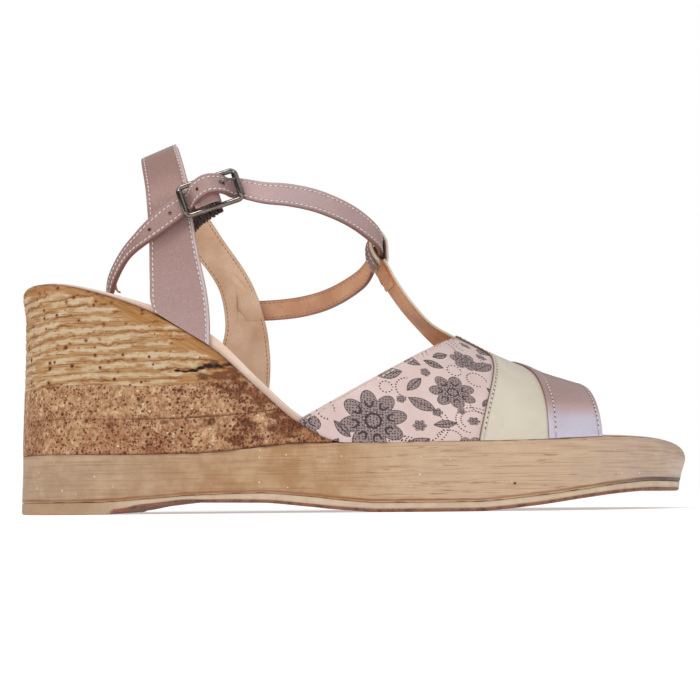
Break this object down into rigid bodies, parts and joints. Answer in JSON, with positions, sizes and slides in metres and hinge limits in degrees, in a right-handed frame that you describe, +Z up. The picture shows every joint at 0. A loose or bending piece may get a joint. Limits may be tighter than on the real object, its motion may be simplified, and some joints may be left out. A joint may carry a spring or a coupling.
{
  "type": "platform wedge sandal",
  "caption": "Open-toe platform wedge sandal with a layered cork-look sole, a leather vamp, a T-bar loop, an arched back strap and a buckled ankle strap.",
  "frame": {"origin": "on the floor, under the middle of the sole's box", "axes": "+X from heel to toe, +Y towards the inner side of the foot, +Z up"},
  "size_m": [0.2468, 0.0888, 0.1366],
  "materials": {
    "outsole": "matte textured underside with a pale edge",
    "platform": "moulded polyurethane with a pale wood look",
    "cork": "moulded polyurethane with a speckled cork look",
    "bark": "moulded polyurethane with a ribbed bark look",
    "insole": "matte lining leather",
    "vamp_leather": "smooth leather, printed and metallic panels",
    "strap_leather": "metallic mauve leather with a peach lining",
    "buckle": "polished gunmetal",
    "elastic": "gathered woven elastic"
  },
  "bodies": {
    "root": {"outsole": "outsole", "platform": "platform", "wedge_lower_layer": "cork", "wedge_middle_layer": "cork", "wedge_top_layer": "bark", "insole": "insole", "upper_vamp": "vamp_leather", "back_strap": "strap_leather", "ankle_strap": "strap_leather", "buckle_frame": "buckle", "buckle_prong": "buckle", "buckle_elastic": "elastic"}
  },
  "joints": []
}
